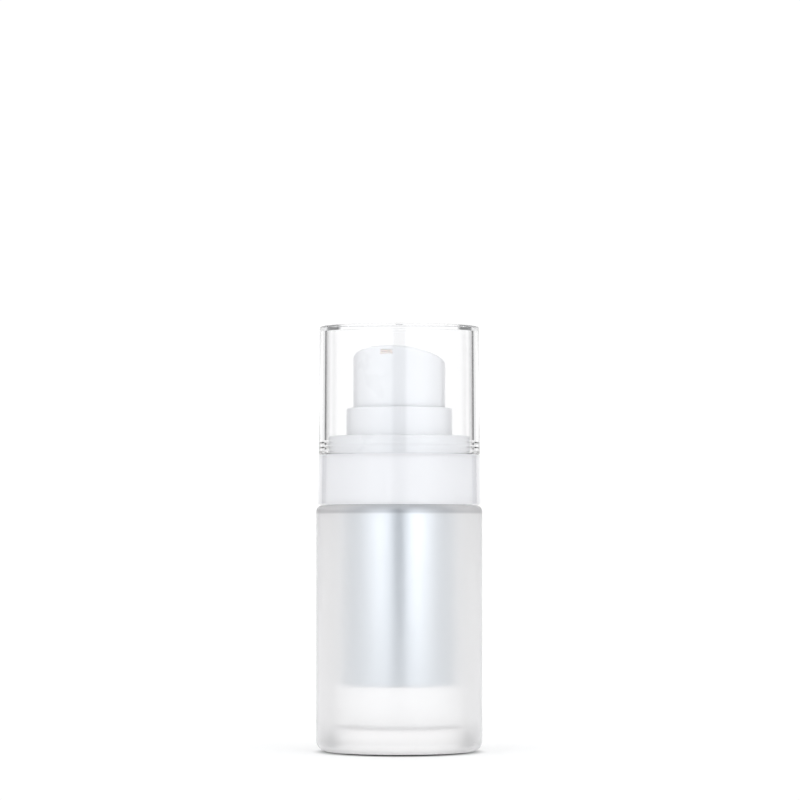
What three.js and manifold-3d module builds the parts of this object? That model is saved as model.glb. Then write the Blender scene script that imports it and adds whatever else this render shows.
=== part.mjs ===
// Airless foundation bottle: a heavy frosted outer bottle, an inner cup with a follower piston,
// a snap-on collar, a spring-return pump whose head turns on its stem, and a clear lift-off cap.
// Millimetres, +Z up, origin at the centre of the base. The outlet faces -Y.
import * as THREE from 'three';
import { mergeVertices } from 'three/addons/utils/BufferGeometryUtils.js';
import Module from 'manifold-3d';

const wasm = await Module();
wasm.setup();

// Outer bottle
const BOTTLE_RADIUS = 18;
const BOTTLE_SHOULDER = 53.2;
const BASE_FILLET = 2.3;
const SHOULDER_FILLET = 1.4;
const PUSH_UP = 0.9;
const FOOT_INNER = 12.4;
const BORE_RADIUS = 13.45;
const BORE_FLOOR = 5.1;
const BORE_FILLET = 1.2;
const SPIGOT_RADIUS = 14.6;
const SPIGOT_TOP = 61.6;
const SNAP_HEIGHT = 58;

// Inner cup and follower piston
const CUP_RADIUS = 13;
const CUP_INNER = 12.1;
const CUP_BOTTOM = 14.3;
const CUP_FLOOR = CUP_BOTTOM + 0.8;
const CUP_RIM = SPIGOT_TOP + 0.9;
const VENT_RADIUS = 0.5;
const VENT_NOTCH = 1.4;
const PISTON_BOTTOM = CUP_FLOOR + 0.2;
const PISTON_HEIGHT = 9.2;
const WELL_RADIUS = 6.2;

// Pump
const FLANGE_BOTTOM = CUP_RIM + 0.7;
const FLANGE_TOP = FLANGE_BOTTOM + 1;
const CHAMBER_FLOOR = 50;
const CHAMBER_RADIUS = 4.7;
const HOUSING_RADIUS = 5.6;
const INLET_RADIUS = 1;
const INLET_BALL = 1.5;
const CAGE_BORE = 0.5;
const OUTLET_BALL = 1.3;
const STEM_RADIUS = 2.15;
const STEM_BOTTOM = 58;
const STEM_TOP = 76;
const VALVE_SEAT = 72;
const STEM_BORE = 0.9;
const SPRING_RADIUS = 3.65;
const SPRING_WIRE = 0.3;
const SPRING_BOTTOM = FLANGE_TOP + 0.3;
const SPRING_TOP = 77;
const SPRING_TURNS = 7;

// Collar, shroud and cap
const COLLAR_BOTTOM = BOTTLE_SHOULDER + 0.2;
const COLLAR_RADIUS = 15.6;
const COLLAR_BORE = 14.95;
const NECK_RADIUS = 15.4;
const NECK_TOP = 68.2;
const PLATE_BOTTOM = 66.9;
const SLEEVE_BOTTOM_RADIUS = 17.66;
const SLEEVE_RADIUS = 17.5;
const SLEEVE_INNER = 15.9;
const SLEEVE_TOP = 64.1;
const SHROUD_RADIUS = 11.5;
const SHROUD_BORE = 10.75;
const SHROUD_TOP = 74.3;
const CAP_TOP = 91.9;
const CAP_TOP_RADIUS = 17.3;
const CAP_PLATE = 1.1;
const CAP_INNER = 15.9;

// Head
const HEAD_RADIUS = 10;
const HEAD_WALL = 1;
const HEAD_BOTTOM = 70.2;
const HEAD_EDGE = 84;
const HEAD_SLOPE = 0.24;
const CROWN_HEIGHT = 1.26;
const CROWN_LEAN = 0.86;
const LEAN_HEIGHT = 6;
const OUTLET_HEIGHT = 86.1;
const OUTLET_WIDTH = 2.5;
const OUTLET_DEPTH = 0.75;
const OUTLET_SETBACK = 0.12;
const ORIFICE_DEPTH = 0.3;
const PASSAGE_WIDTH = 1.8;
const DUCT_START = 82;
const DUCT_WALL = 0.55;

// Clearance between pieces that fit together
const FIT = 0.1;

// Facets round the turned pieces
const OUTER_SIDES = 36;
const PUMP_SIDES = 24;
const SMALL_SIDES = 16;
const SPRING_STEPS = 12;
const WIRE_SIDES = 5;

const materials = {
  frostedGlass: new THREE.MeshStandardMaterial({ color: 0xe9ecee, roughness: 0.45, metalness: 0 }),
  silver: new THREE.MeshStandardMaterial({ color: 0xd9e1e6, roughness: 0.22, metalness: 0.9 }),
  clearPlastic: new THREE.MeshStandardMaterial({ color: 0xf6f8fa, roughness: 0.04, metalness: 0 }),
  whitePlastic: new THREE.MeshStandardMaterial({ color: 0xf1f2f5, roughness: 0.28, metalness: 0 }),
  naturalPlastic: new THREE.MeshStandardMaterial({ color: 0xe6e8e4, roughness: 0.4, metalness: 0 }),
  peachPlastic: new THREE.MeshStandardMaterial({ color: 0xf3c9ad, roughness: 0.35, metalness: 0 }),
  sealPlastic: new THREE.MeshStandardMaterial({ color: 0xdedfdd, roughness: 0.55, metalness: 0 }),
  steel: new THREE.MeshStandardMaterial({ color: 0xb9bcc0, roughness: 0.2, metalness: 1 }),
};

// An outline from corners [radius, height, fillet]: a fillet turns the corner into an arc.
function outline(corners, closed) {
  const points = [];
  const count = corners.length;
  corners.forEach(([x, y, fillet = 0], index) => {
    const corner = new THREE.Vector2(x, y);
    if (fillet === 0) {
      points.push(corner);
      return;
    }
    const before = new THREE.Vector2(...corners[(index + count - 1) % count]).sub(corner).normalize();
    const after = new THREE.Vector2(...corners[(index + 1) % count]).sub(corner).normalize();
    const half = Math.acos(THREE.MathUtils.clamp(before.dot(after), -1, 1)) / 2;
    const middle = before.clone().add(after).normalize().multiplyScalar(fillet / Math.sin(half)).add(corner);
    const start = before.clone().multiplyScalar(fillet / Math.tan(half)).add(corner).sub(middle);
    const turn = Math.PI - 2 * half;
    const side = Math.sign(before.cross(start));
    const steps = Math.max(2, Math.round(turn / (Math.PI / 2) * (fillet < 1 ? 2 : 4)));
    for (let step = 0; step <= steps; step += 1) {
      const swept = start.clone().rotateAround(new THREE.Vector2(), side * turn * step / steps);
      points.push(swept.add(middle));
    }
  });
  if (closed) {
    points.push(points[0].clone());
  }
  return points;
}

// A solid turned about the Z axis. A ring's outline closes on itself.
function turned(corners, sides, closed = false) {
  const geometry = new THREE.LatheGeometry(outline(corners, closed), sides);
  return geometry.rotateX(Math.PI / 2);
}

const ring = (corners, sides) => turned(corners, sides, true);

// A box between two corners.
function block(low, high) {
  const size = high.map((value, axis) => value - low[axis]);
  const centre = high.map((value, axis) => (value + low[axis]) / 2);
  return new THREE.BoxGeometry(...size).translate(...centre);
}

// A closed geometry as a solid that can be joined and cut.
function solid(geometry) {
  const bare = geometry.clone();
  bare.deleteAttribute('normal');
  bare.deleteAttribute('uv');
  const merged = mergeVertices(bare, 1e-5);
  return new wasm.Manifold(new wasm.Mesh({
    numProp: 3,
    vertProperties: new Float32Array(merged.attributes.position.array),
    triVerts: new Uint32Array(merged.index.array),
  }));
}

function geometryOf(manifold) {
  const mesh = manifold.getMesh();
  const geometry = new THREE.BufferGeometry();
  geometry.setAttribute('position', new THREE.BufferAttribute(mesh.vertProperties, 3));
  geometry.setIndex(new THREE.BufferAttribute(mesh.triVerts, 1));
  geometry.computeVertexNormals();
  return geometry;
}

const bottle = new THREE.Group();

function add(name, geometry, material) {
  const mesh = new THREE.Mesh(geometry, material.clone());
  mesh.name = name;
  bottle.add(mesh);
}

// Heavy-walled bottle: shallow push-up below, straight bore, spigot with a snap bead for the collar.
function outerBottle() {
  const bead = SPIGOT_RADIUS + 0.25;
  return turned([
    [0, PUSH_UP],
    [FOOT_INNER - 1.5, PUSH_UP],
    [FOOT_INNER, 0],
    [BOTTLE_RADIUS, 0, BASE_FILLET],
    [BOTTLE_RADIUS, BOTTLE_SHOULDER, SHOULDER_FILLET],
    [SPIGOT_RADIUS, BOTTLE_SHOULDER],
    [SPIGOT_RADIUS, SNAP_HEIGHT],
    [bead, SNAP_HEIGHT + 0.4],
    [bead, SNAP_HEIGHT + 1],
    [SPIGOT_RADIUS, SNAP_HEIGHT + 1.4],
    [SPIGOT_RADIUS, SPIGOT_TOP],
    [BORE_RADIUS, SPIGOT_TOP],
    [BORE_RADIUS, BORE_FLOOR, BORE_FILLET],
    [0, BORE_FLOOR],
  ], OUTER_SIDES);
}

// Cup that hangs in the bore by its rim. A hole in its floor and a notch in its rim let air in below
// the piston.
function innerCup() {
  const rimRadius = SPIGOT_RADIUS;
  const rimBottom = SPIGOT_TOP + FIT;
  const cup = ring([
    [VENT_RADIUS, CUP_BOTTOM],
    [CUP_RADIUS, CUP_BOTTOM, 0.6],
    [CUP_RADIUS, rimBottom],
    [rimRadius, rimBottom],
    [rimRadius, CUP_RIM],
    [CUP_INNER, CUP_RIM],
    [CUP_INNER, CUP_FLOOR, 0.4],
    [VENT_RADIUS, CUP_FLOOR],
  ], OUTER_SIDES);
  const notch = block(
    [CUP_RADIUS + 0.2, -VENT_NOTCH / 2, rimBottom - 1],
    [rimRadius + 1, VENT_NOTCH / 2, rimBottom + 0.4],
  );
  return geometryOf(solid(cup).subtract(solid(notch)));
}

// Piston with a wiping lip at each end and a central well that takes the pump chamber at the end of
// its travel.
function followerPiston() {
  const lip = CUP_INNER - FIT;
  const waist = lip - 0.3;
  const top = PISTON_BOTTOM + PISTON_HEIGHT;
  const skirt = waist - 0.9;
  const wellWall = WELL_RADIUS + 0.9;
  const web = top - 1.6;
  return turned([
    [0, PISTON_BOTTOM],
    [wellWall, PISTON_BOTTOM],
    [wellWall, web],
    [skirt, web],
    [skirt, PISTON_BOTTOM],
    [lip, PISTON_BOTTOM + 0.2],
    [waist, PISTON_BOTTOM + 1.2],
    [waist, top - 1.2],
    [lip, top - 0.2],
    [lip - 0.7, top],
    [WELL_RADIUS, top],
    [WELL_RADIUS, PISTON_BOTTOM + 0.8],
    [0, PISTON_BOTTOM + 0.8],
  ], OUTER_SIDES);
}

function cupGasket() {
  return ring([
    [CUP_INNER + FIT, CUP_RIM + FIT],
    [SPIGOT_RADIUS - 0.2, CUP_RIM + FIT],
    [SPIGOT_RADIUS - 0.2, FLANGE_BOTTOM - FIT],
    [CUP_INNER + FIT, FLANGE_BOTTOM - FIT],
  ], PUMP_SIDES);
}

// Flange on the cup's rim, plug skirt inside the cup, and the pump chamber with its conical inlet seat.
function pumpHousing() {
  const flangeRadius = SPIGOT_RADIUS - 0.2;
  const skirtOuter = CUP_INNER - 0.2;
  const skirtInner = skirtOuter - 0.8;
  const skirtBottom = FLANGE_BOTTOM - 3;
  const inletBottom = CHAMBER_FLOOR - 2.4;
  const seatTop = CHAMBER_FLOOR - 0.6;
  const pocket = INLET_BALL + 0.5;
  return ring([
    [INLET_RADIUS, inletBottom],
    [INLET_RADIUS + 1.6, inletBottom],
    [HOUSING_RADIUS, CHAMBER_FLOOR - 0.8],
    [HOUSING_RADIUS, FLANGE_BOTTOM],
    [skirtInner, FLANGE_BOTTOM],
    [skirtInner, skirtBottom],
    [skirtOuter, skirtBottom],
    [skirtOuter, FLANGE_BOTTOM],
    [flangeRadius, FLANGE_BOTTOM],
    [flangeRadius, FLANGE_TOP],
    [CHAMBER_RADIUS, FLANGE_TOP],
    [CHAMBER_RADIUS, CHAMBER_FLOOR],
    [pocket, CHAMBER_FLOOR],
    [pocket, seatTop],
    [INLET_RADIUS, seatTop - (pocket - INLET_RADIUS)],
  ], PUMP_SIDES);
}

// Height of a ball's centre on a 45 degree seat whose lower edge has the given radius and height.
const seatedHeight = (ballRadius, seatRadius, seatBottom) => (
  seatBottom - seatRadius + ballRadius * Math.SQRT2 + FIT / 2
);

function ball(radius, height) {
  return new THREE.SphereGeometry(radius, SMALL_SIDES, SMALL_SIDES / 2).translate(0, 0, height);
}

// Cage over the inlet ball, with crossed slots that let product past the lifted ball.
function ballCage() {
  const bottom = CHAMBER_FLOOR + FIT;
  const top = bottom + 2.5;
  const roof = top - 0.6;
  const pocket = INLET_BALL + 0.4;
  const outer = CHAMBER_RADIUS - FIT;
  const cage = ring([
    [CAGE_BORE, roof],
    [pocket, roof],
    [pocket, bottom],
    [outer, bottom],
    [outer, top],
    [CAGE_BORE, top],
  ], PUMP_SIDES);
  const reach = pocket + 0.9;
  const slotLow = bottom + 0.7;
  const alongX = block([-reach, -0.4, slotLow], [reach, 0.4, top + 1]);
  const alongY = block([-0.4, -reach, slotLow], [0.4, reach, top + 1]);
  return geometryOf(solid(cage).subtract(solid(alongX)).subtract(solid(alongY)));
}

// Hollow plug that holds the piston on the stem's lower end.
function stemPlug() {
  return ring([
    [0.6, STEM_BOTTOM - 1],
    [2.9, STEM_BOTTOM - 1],
    [2.9, STEM_BOTTOM - FIT],
    [1.2, STEM_BOTTOM - FIT],
    [1.2, STEM_BOTTOM + 2.8],
    [0.6, STEM_BOTTOM + 2.8],
  ], SMALL_SIDES);
}

// Sliding seal with a lip at each end.
function stemPiston() {
  const lip = CHAMBER_RADIUS - FIT;
  const bottom = STEM_BOTTOM + FIT / 2;
  const top = STEM_BOTTOM + 3.6;
  const bore = STEM_RADIUS + FIT;
  return ring([
    [bore, bottom],
    [lip - 0.7, bottom],
    [lip, bottom + 0.3],
    [lip - 0.4, bottom + 1.1],
    [lip - 0.4, top - 1.1],
    [lip, top - 0.3],
    [lip - 0.7, top],
    [bore, top],
  ], PUMP_SIDES);
}

// Hollow stem: socket for the plug, stop shoulder under the lock ring, valve seat near the top.
function pumpStem() {
  const shoulder = STEM_BOTTOM + 3.8;
  const plugBore = 1.3;
  const valveBore = OUTLET_BALL + 0.3;
  return ring([
    [plugBore, STEM_BOTTOM],
    [STEM_RADIUS, STEM_BOTTOM],
    [STEM_RADIUS, shoulder],
    [3, shoulder],
    [3, shoulder + 0.6],
    [STEM_RADIUS, shoulder + 0.6],
    [STEM_RADIUS, STEM_TOP],
    [valveBore, STEM_TOP],
    [valveBore, VALVE_SEAT + valveBore - STEM_BORE],
    [STEM_BORE, VALVE_SEAT],
    [STEM_BORE, STEM_BOTTOM + 3],
    [plugBore, STEM_BOTTOM + 3],
  ], SMALL_SIDES);
}

// Snap ring in the top of the chamber: guides the stem and seats the spring.
function housingLock() {
  const guide = STEM_RADIUS + 0.15;
  const boss = SPRING_RADIUS - SPRING_WIRE - 0.35;
  const flangeBottom = FLANGE_TOP + FIT;
  const wellFloor = SPRING_BOTTOM - FIT;
  return ring([
    [guide, FLANGE_TOP - 1.5],
    [CHAMBER_RADIUS - FIT, FLANGE_TOP - 1.5],
    [CHAMBER_RADIUS - FIT, flangeBottom],
    [HOUSING_RADIUS + 0.9, flangeBottom],
    [HOUSING_RADIUS + 0.9, flangeBottom + 1.1],
    [SPRING_RADIUS + SPRING_WIRE + 0.35, flangeBottom + 1.1],
    [SPRING_RADIUS + SPRING_WIRE + 0.35, wellFloor],
    [boss, wellFloor],
    [boss, wellFloor + 1.6],
    [guide, wellFloor + 1.6],
  ], PUMP_SIDES);
}

// Compression spring with closed ends, as a wire swept along a helix whose pitch eases to a flat turn
// at each end.
class SpringCurve extends THREE.Curve {
  getPoint(t, target = new THREE.Vector3()) {
    const angle = 2 * Math.PI * SPRING_TURNS * t;
    const low = SPRING_BOTTOM + SPRING_WIRE;
    const high = SPRING_TOP - SPRING_WIRE;
    const closedShare = 1 / SPRING_TURNS;
    const wireStep = 2 * SPRING_WIRE + 0.08;
    const free = THREE.MathUtils.clamp((t - closedShare) / (1 - 2 * closedShare), 0, 1);
    const ends = Math.min(t / closedShare, 1) + Math.max((t - 1 + closedShare) / closedShare, 0);
    const height = low + wireStep * ends + (high - low - 2 * wireStep) * free;
    return target.set(SPRING_RADIUS * Math.cos(angle), SPRING_RADIUS * Math.sin(angle), height);
  }
}

function returnSpring() {
  const circle = new THREE.EllipseCurve(0, 0, SPRING_WIRE, SPRING_WIRE);
  const wire = new THREE.Shape(circle.getPoints(WIRE_SIDES).slice(0, WIRE_SIDES));
  return new THREE.ExtrudeGeometry(wire, {
    steps: SPRING_TURNS * SPRING_STEPS,
    bevelEnabled: false,
    extrudePath: new SpringCurve(),
  });
}

// White snap collar: skirt over the spigot, hold-down plate, and the neck the cap clicks on.
function collarBase() {
  const hook = COLLAR_BORE - 0.2;
  const beadHeight = NECK_TOP - 1.9;
  return ring([
    [COLLAR_BORE, COLLAR_BOTTOM],
    [COLLAR_RADIUS, COLLAR_BOTTOM],
    [COLLAR_RADIUS, SLEEVE_TOP],
    [NECK_RADIUS, SLEEVE_TOP + 0.2],
    [NECK_RADIUS, beadHeight - 0.5],
    [NECK_RADIUS + 0.2, beadHeight],
    [NECK_RADIUS, beadHeight + 0.5],
    [NECK_RADIUS, NECK_TOP, 0.5],
    [SHROUD_RADIUS + 0.15, NECK_TOP],
    [SHROUD_RADIUS + 0.15, PLATE_BOTTOM],
    [COLLAR_BORE, PLATE_BOTTOM],
    [COLLAR_BORE, SNAP_HEIGHT],
    [hook, SNAP_HEIGHT - 0.4],
    [hook, SNAP_HEIGHT - 1],
    [COLLAR_BORE, SNAP_HEIGHT - 1.4],
  ], OUTER_SIDES);
}

function collarSleeve() {
  return ring([
    [SLEEVE_INNER, COLLAR_BOTTOM - FIT],
    [SLEEVE_BOTTOM_RADIUS, COLLAR_BOTTOM - FIT, 0.25],
    [SLEEVE_RADIUS, SLEEVE_TOP, 0.25],
    [SLEEVE_INNER, SLEEVE_TOP],
  ], OUTER_SIDES);
}

// Ring the head slides into. Its foot is clamped between the pump flange and the collar's plate.
function pumpShroud() {
  const footTop = PLATE_BOTTOM - FIT;
  const footBottom = footTop - 1.2;
  const legOuter = COLLAR_BORE - 0.25;
  return ring([
    [SHROUD_BORE, footBottom],
    [legOuter - 1.2, footBottom],
    [legOuter - 1.2, FLANGE_TOP + FIT],
    [legOuter, FLANGE_TOP + FIT],
    [legOuter, footTop],
    [SHROUD_RADIUS, footTop],
    [SHROUD_RADIUS, SHROUD_TOP, 0.5],
    [SHROUD_BORE, SHROUD_TOP, 0.15],
  ], OUTER_SIDES);
}

function overcap() {
  const mouth = SLEEVE_TOP + FIT;
  const bead = CAP_INNER - 0.18;
  return turned([
    [0, CAP_TOP - CAP_PLATE],
    [CAP_INNER - 0.05, CAP_TOP - CAP_PLATE, 0.5],
    [CAP_INNER + 0.05, mouth + 1.8],
    [bead, mouth + 1.3],
    [bead, mouth + 0.8],
    [CAP_INNER + 0.05, mouth + 0.4],
    [CAP_INNER + 0.05, mouth],
    [SLEEVE_RADIUS, mouth, 0.25],
    [CAP_TOP_RADIUS, CAP_TOP, 0.7],
    [0, CAP_TOP],
  ], OUTER_SIDES);
}

// Rounded crown: 1 on the axis, falling to 0 at the rim with an upright tangent.
const crown = (share) => (1 - share ** 3.5) ** 0.4;

// Leans a turned head: above its straight part it rises towards the outlet side, the crown most.
function leanTop(geometry, radius, edge) {
  const position = geometry.attributes.position;
  for (let index = 0; index < position.count; index += 1) {
    const forward = -position.getY(index);
    const height = position.getZ(index);
    const lift = THREE.MathUtils.clamp((height - edge + LEAN_HEIGHT) / LEAN_HEIGHT, 0, 1);
    const crownShare = Math.max(height - edge, 0) / CROWN_HEIGHT;
    const rise = lift * HEAD_SLOPE * forward + crownShare * CROWN_LEAN * forward / radius;
    position.setZ(index, height + rise);
  }
  return geometry;
}

// Corners of the crown from rim to axis.
function crownCorners(radius, edge) {
  const shares = [1, 0.985, 0.93, 0.8, 0.6, 0.35];
  return shares.map((share) => [radius * share, edge + CROWN_HEIGHT * crown(share)]);
}

// One straight line carries the duct and the outlet, rising from the axis to the front wall.
const ductAngle = Math.atan2(OUTLET_HEIGHT - DUCT_START, HEAD_RADIUS);
const ductLength = Math.hypot(OUTLET_HEIGHT - DUCT_START, HEAD_RADIUS);

// A bar of rectangular section along the duct line, between two distances from its start.
function ductBar(width, depth, from, to) {
  return block([-width / 2, -to, -depth / 2], [width / 2, -from, depth / 2])
    .rotateX(-ductAngle)
    .translate(0, 0, DUCT_START);
}

// Hollow head shell with a leaning crown and a slot for the outlet.
function actuatorHead() {
  const inner = HEAD_RADIUS - HEAD_WALL;
  const innerEdge = HEAD_EDGE - HEAD_WALL;
  const skin = leanTop(turned([
    [0, HEAD_BOTTOM],
    [HEAD_RADIUS, HEAD_BOTTOM],
    [HEAD_RADIUS, HEAD_EDGE - LEAN_HEIGHT],
    ...crownCorners(HEAD_RADIUS, HEAD_EDGE),
    [0, HEAD_EDGE + CROWN_HEIGHT],
  ], OUTER_SIDES), HEAD_RADIUS, HEAD_EDGE);
  const hollow = leanTop(turned([
    [0, HEAD_BOTTOM - 1],
    [inner, HEAD_BOTTOM - 1],
    [inner, innerEdge - LEAN_HEIGHT],
    ...crownCorners(inner, innerEdge),
    [0, innerEdge + CROWN_HEIGHT],
  ], OUTER_SIDES), inner, innerEdge);
  const slot = ductBar(OUTLET_WIDTH + 2 * FIT, OUTLET_DEPTH + 2 * FIT, ductLength - 4, ductLength + 2);
  return geometryOf(solid(skin).subtract(solid(hollow)).subtract(solid(slot)));
}

// Socket on the stem, closing disc across the head, and the duct up to the outlet.
function actuatorCore() {
  const socketBore = STEM_RADIUS + FIT;
  const discBottom = SPRING_TOP + FIT;
  const discRadius = HEAD_RADIUS - HEAD_WALL - 0.2;
  const postTop = DUCT_START + 0.7;
  const channel = 0.9;
  const socketRadius = SPRING_RADIUS - SPRING_WIRE - 0.3;
  const postRadius = 2.4;
  const body = turned([
    [0, STEM_TOP + FIT],
    [socketBore, STEM_TOP + FIT],
    [socketBore, HEAD_BOTTOM],
    [socketRadius, HEAD_BOTTOM],
    [socketRadius, discBottom],
    [discRadius, discBottom],
    [discRadius, discBottom + 1],
    [postRadius, discBottom + 1],
    [postRadius, postTop],
    [0, postTop],
  ], PUMP_SIDES);
  const duct = ductBar(OUTLET_WIDTH + 2 * DUCT_WALL, OUTLET_DEPTH + 2 * DUCT_WALL, 0, ductLength - 3.2);
  const mouth = ductBar(OUTLET_WIDTH + 2 * FIT, OUTLET_DEPTH + 2 * FIT, ductLength - 4.4, ductLength);
  const passage = ductBar(PASSAGE_WIDTH, 0.8, 0, ductLength);
  const riser = turned([
    [0, STEM_TOP],
    [channel, STEM_TOP],
    [channel, DUCT_START],
    [0, DUCT_START],
  ], SMALL_SIDES);
  return geometryOf(
    solid(body).add(solid(duct)).subtract(solid(mouth)).subtract(solid(passage)).subtract(solid(riser)),
  );
}

// Outlet tube of the head, a little behind the head's surface.
function nozzleInsert() {
  const tube = ductBar(OUTLET_WIDTH, OUTLET_DEPTH, ductLength - 4.2, ductLength - OUTLET_SETBACK);
  const passage = ductBar(PASSAGE_WIDTH, ORIFICE_DEPTH, ductLength - 5, ductLength);
  return geometryOf(solid(tube).subtract(solid(passage)));
}

const inletSeat = CHAMBER_FLOOR - 0.6 - (INLET_BALL + 0.5 - INLET_RADIUS);
const inletBall = ball(INLET_BALL, seatedHeight(INLET_BALL, INLET_RADIUS, inletSeat));
const outletBall = ball(OUTLET_BALL, seatedHeight(OUTLET_BALL, STEM_BORE, VALVE_SEAT));

add('outer_bottle', outerBottle(), materials.frostedGlass);
add('inner_cup', innerCup(), materials.silver);
add('follower_piston', followerPiston(), materials.naturalPlastic);
add('cup_gasket', cupGasket(), materials.sealPlastic);
add('pump_housing', pumpHousing(), materials.naturalPlastic);
add('inlet_ball', inletBall, materials.steel);
add('ball_cage', ballCage(), materials.naturalPlastic);
add('stem_plug', stemPlug(), materials.naturalPlastic);
add('stem_piston', stemPiston(), materials.sealPlastic);
add('pump_stem', pumpStem(), materials.naturalPlastic);
add('outlet_ball', outletBall, materials.steel);
add('housing_lock', housingLock(), materials.naturalPlastic);
add('return_spring', returnSpring(), materials.steel);
add('collar_base', collarBase(), materials.whitePlastic);
add('collar_sleeve', collarSleeve(), materials.clearPlastic);
add('pump_shroud', pumpShroud(), materials.whitePlastic);
add('actuator_core', actuatorCore(), materials.whitePlastic);
add('nozzle_insert', nozzleInsert(), materials.peachPlastic);
add('actuator_head', actuatorHead(), materials.whitePlastic);
add('overcap', overcap(), materials.clearPlastic);

export default bottle;
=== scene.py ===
# Airless foundation bottle: fine turned surfaces, glass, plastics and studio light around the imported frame.
# The CAD frame is in metres, and so is every Blender object. Outlines are written in millimetres and
# scaled once, when their mesh is made.
import math

import bmesh
import bpy
from mathutils import Matrix, Vector


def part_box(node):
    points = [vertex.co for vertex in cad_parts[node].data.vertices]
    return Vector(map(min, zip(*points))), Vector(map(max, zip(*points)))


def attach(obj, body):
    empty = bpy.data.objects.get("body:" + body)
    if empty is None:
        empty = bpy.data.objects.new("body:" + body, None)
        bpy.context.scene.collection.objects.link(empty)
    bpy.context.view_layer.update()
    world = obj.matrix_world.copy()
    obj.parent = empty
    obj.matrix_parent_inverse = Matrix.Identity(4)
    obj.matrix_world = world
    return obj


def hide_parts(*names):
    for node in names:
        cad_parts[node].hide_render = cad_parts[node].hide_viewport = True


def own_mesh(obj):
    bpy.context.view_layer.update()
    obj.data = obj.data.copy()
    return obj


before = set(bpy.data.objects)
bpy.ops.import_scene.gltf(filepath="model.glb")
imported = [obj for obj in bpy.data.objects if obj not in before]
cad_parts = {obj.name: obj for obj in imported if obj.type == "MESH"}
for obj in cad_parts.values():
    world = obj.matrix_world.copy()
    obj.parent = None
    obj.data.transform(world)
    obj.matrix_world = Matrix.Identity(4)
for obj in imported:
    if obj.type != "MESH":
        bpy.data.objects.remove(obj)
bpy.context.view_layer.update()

MM = 0.001
FINE_SIDES = 192
PUMP_SIDES = 96
ARC_STEP = math.radians(11)
SHARP_ANGLE = math.radians(32)

scene = bpy.context.scene


# ---------------------------------------------------------------- sizes taken from the frame

def spans(node):
    """Outer radius, bottom and top of a turned CAD node, in millimetres."""
    low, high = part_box(node)
    return high.x / MM, low.z / MM, high.z / MM


BOTTLE_RADIUS, BASE, SPIGOT_TOP = spans("outer_bottle")
RIM_RADIUS, CUP_BOTTOM, CUP_TOP = spans("inner_cup")
GASKET_RADIUS, GASKET_BOTTOM, GASKET_TOP = spans("cup_gasket")
PISTON_RADIUS, PISTON_BOTTOM, PISTON_TOP = spans("follower_piston")
FLANGE_RADIUS, HOUSING_BOTTOM, FLANGE_TOP = spans("pump_housing")
CAGE_RADIUS, CAGE_BOTTOM, CAGE_TOP = spans("ball_cage")
PLUG_RADIUS, PLUG_BOTTOM, PLUG_TOP = spans("stem_plug")
SEAL_RADIUS, SEAL_BOTTOM, SEAL_TOP = spans("stem_piston")
RIB_RADIUS, STEM_BOTTOM, STEM_TOP = spans("pump_stem")
LOCK_RADIUS, LOCK_BOTTOM, LOCK_TOP = spans("housing_lock")
COIL_RADIUS, COIL_BOTTOM, COIL_TOP = spans("return_spring")
COLLAR_RADIUS, COLLAR_BOTTOM, NECK_TOP = spans("collar_base")
SLEEVE_RADIUS, SLEEVE_BOTTOM, SLEEVE_TOP = spans("collar_sleeve")
SHROUD_FOOT, SHROUD_BOTTOM, SHROUD_TOP = spans("pump_shroud")
CORE_RADIUS, CORE_BOTTOM, _ = spans("actuator_core")
HEAD_RADIUS, HEAD_BOTTOM, _ = spans("actuator_head")
CAP_RADIUS, CAP_MOUTH, CAP_TOP = spans("overcap")

# Sizes that no box gives
SHOULDER = 53.2
SPIGOT_RADIUS = 14.6
BORE_RADIUS = 13.45
SHOULDER_FILLET = 1.4
BASE_FILLET = 2.3
BORE_FILLET = 1.2
BORE_FLOOR = 5.1
SNAP_BOTTOM = 58.0
SNAP_TOP = 59.4
SNAP_REACH = 0.25
PUSH_UP = 0.9
FOOT_INNER = 12.4
CUP_RADIUS = 13.0
CUP_INNER = 12.1
CUP_WALL = 0.8
VENT_RADIUS = 0.5
GASKET_WIDTH = 2.2
PISTON_SKIRT = 7.1
PISTON_HOOP = 10.8
PISTON_WEB = 22.9
PISTON_WELL = 6.2
PISTON_WELL_FLOOR = 16.1
HOUSING_RADIUS = 5.6
CHAMBER_RADIUS = 4.7
CHAMBER_FLOOR = 50.0
INLET_RADIUS = 1.0
FLANGE_BOTTOM = 63.2
SKIRT_INNER = 11.1
SKIRT_OUTER = 11.9
SKIRT_BOTTOM = 60.2
CAGE_BORE = 0.5
CAGE_ROOM = 1.9
COLLAR_BORE = 14.95
COLLAR_SEAT = 15.6
NECK_RADIUS = 15.4
NECK_BOTTOM = 64.3
NECK_BEAD = 66.3
CATCH_HEIGHT = 57.3
PLATE_BOTTOM = 66.9
PLATE_BORE = 11.65
SLEEVE_INNER = 15.9
SLEEVE_TOP_RADIUS = 17.5
SHROUD_RADIUS = 11.5
SHROUD_BORE = 10.75
SHROUD_LIP = 65.6
SHROUD_LIP_RADIUS = 13.5
SHROUD_STEP = 66.8
CAP_TOP_RADIUS = 17.3
CAP_INNER = 15.85
CAP_MOUTH_INNER = 15.95
CAP_PLATE = 1.1
CAP_RIDGES = [(66.9, 0.04), (65.85, 0.04), (64.9, 0.05)]
GATE_RADIUS = 0.6
GATE_DEPTH = 0.12
HEAD_INNER = 9.0
STEM_RADIUS = 2.15
STEM_BORE = 0.9
STEM_SOCKET = 1.3
RIB_BOTTOM = 61.8
RIB_TOP = 62.4
OUTLET_SEAT = 72.0
PLUG_BORE = 0.6
PLUG_PIN = 1.2
PLUG_STEP = 57.9
LOCK_SKIRT = 4.6
LOCK_GROOVE = 4.3
LOCK_COLLAR = 3.0
LOCK_BORE = 2.3
SPRING_WIRE = 0.3
SPRING_TURNS = 7

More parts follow.
